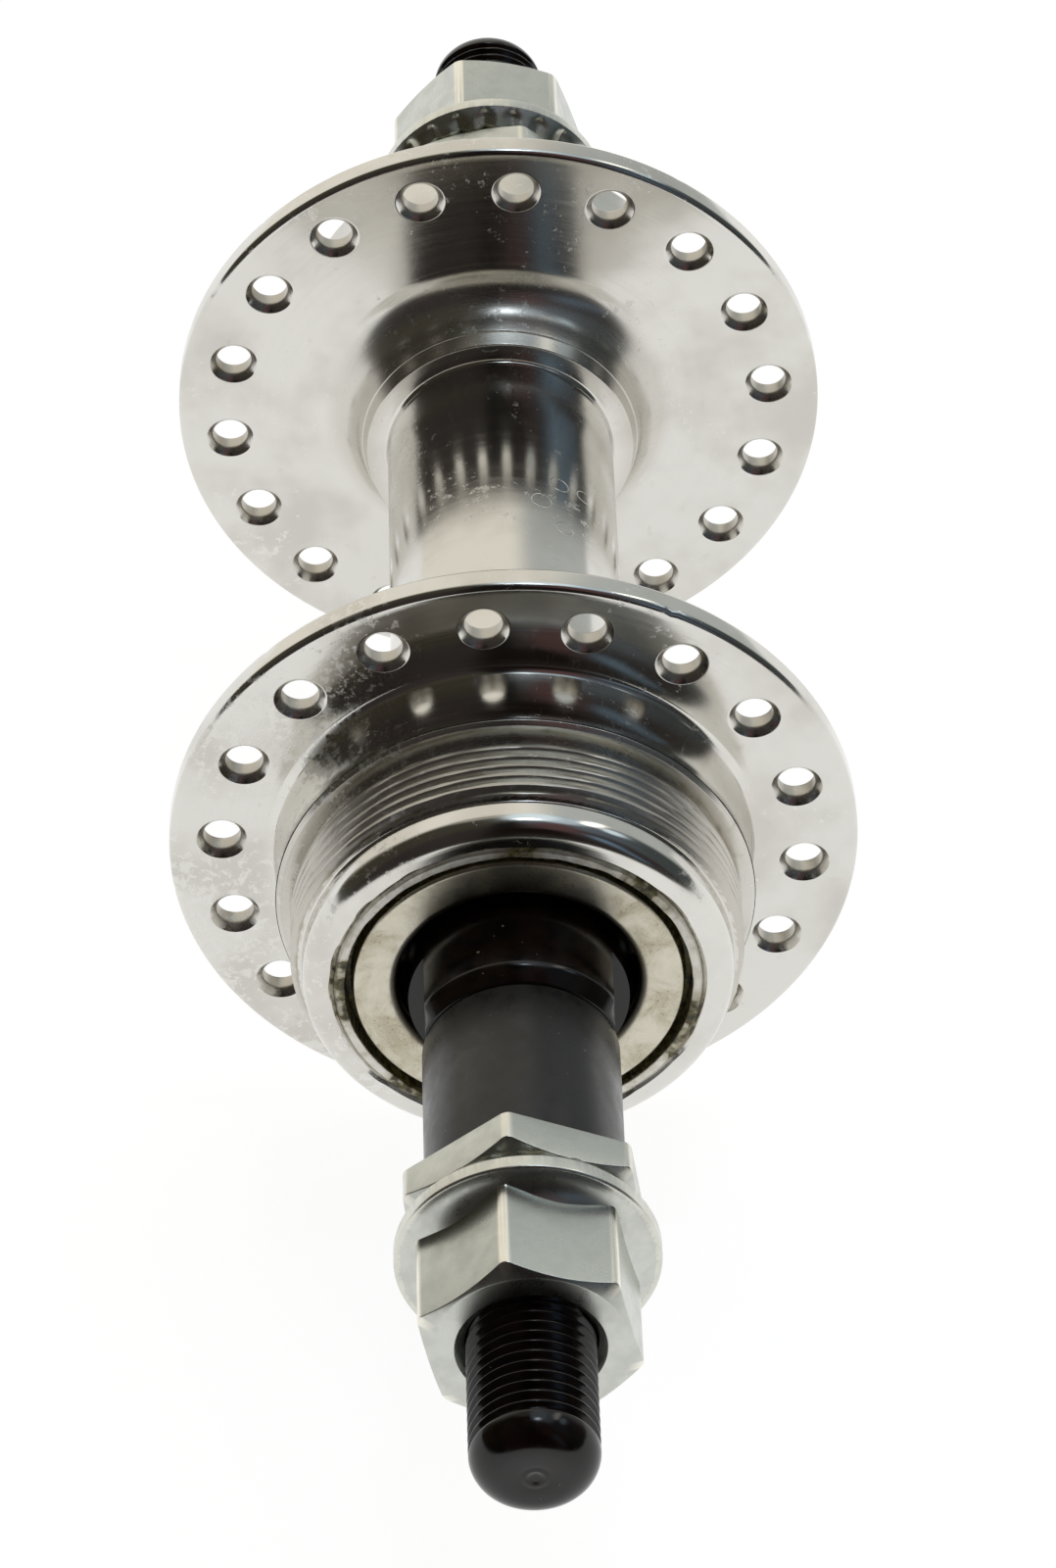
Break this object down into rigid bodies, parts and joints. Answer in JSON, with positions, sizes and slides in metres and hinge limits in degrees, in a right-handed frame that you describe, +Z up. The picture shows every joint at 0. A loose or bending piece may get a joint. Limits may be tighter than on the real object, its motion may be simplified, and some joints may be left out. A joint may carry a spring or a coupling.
{
  "type": "bicycle rear hub",
  "caption": "Bicycle rear hub with spoke flanges, a screw-on freewheel collar, cup-and-cone ball bearings and a solid nutted axle.",
  "frame": {"origin": "middle of the axle, on its axis, which is also the centre of the part's box", "axes": "+Y along the axle to the left side of the wheel, drive side at -Y, +Z up"},
  "size_m": [0.0538, 0.1704, 0.0538],
  "materials": {
    "polished_aluminium": "polished",
    "zinc_steel": "zinc plated",
    "black_steel": "black oxide",
    "satin_black_steel": "satin black",
    "bearing_steel": "ground and polished",
    "cap_steel": "zinc plated, matt"
  },
  "bodies": {
    "axle_set": {"axle": "black_steel", "drive_cone": "black_steel", "drive_spacer": "satin_black_steel", "drive_locknut": "zinc_steel", "left_cone": "black_steel", "left_spacer": "satin_black_steel", "left_locknut": "zinc_steel"},
    "shell": {"drive_flange": "polished_aluminium", "barrel": "polished_aluminium", "left_flange": "polished_aluminium", "drive_cup": "bearing_steel", "left_cup": "bearing_steel", "drive_dust_cap": "cap_steel", "left_dust_cap": "cap_steel"},
    "drive_balls": {"drive_ball_1": "bearing_steel", "drive_ball_2": "bearing_steel", "drive_ball_3": "bearing_steel", "drive_ball_4": "bearing_steel", "drive_ball_5": "bearing_steel", "drive_ball_6": "bearing_steel", "drive_ball_7": "bearing_steel", "drive_ball_8": "bearing_steel", "drive_ball_9": "bearing_steel"},
    "left_balls": {"left_ball_1": "bearing_steel", "left_ball_2": "bearing_steel", "left_ball_3": "bearing_steel", "left_ball_4": "bearing_steel", "left_ball_5": "bearing_steel", "left_ball_6": "bearing_steel", "left_ball_7": "bearing_steel", "left_ball_8": "bearing_steel", "left_ball_9": "bearing_steel"},
    "drive_nut": {"drive_axle_nut": "zinc_steel"},
    "left_nut": {"left_axle_nut": "zinc_steel"}
  },
  "joints": [
    {"name": "shell_spin", "type": "hinge", "parent": "axle_set", "child": "shell", "pos_m": [0, 0, 0], "axis": [0, 1, 0], "continuous": true},
    {"name": "drive_ball_orbit", "type": "hinge", "parent": "axle_set", "child": "drive_balls", "pos_m": [0, 0, 0], "axis": [0, 1, 0], "continuous": true},
    {"name": "left_ball_orbit", "type": "hinge", "parent": "axle_set", "child": "left_balls", "pos_m": [0, 0, 0], "axis": [0, 1, 0], "continuous": true},
    {"name": "drive_nut_travel", "type": "slide", "parent": "axle_set", "child": "drive_nut", "axis": [0, -1, 0], "range_m": [0, 0.0125]},
    {"name": "left_nut_travel", "type": "slide", "parent": "axle_set", "child": "left_nut", "axis": [0, 1, 0], "range_m": [0, 0.009]}
  ],
  "couplings": [
    {"joint": "drive_ball_orbit", "follows": "shell_spin", "ratio": 0.6157},
    {"joint": "left_ball_orbit", "follows": "shell_spin", "ratio": 0.6157}
  ]
}
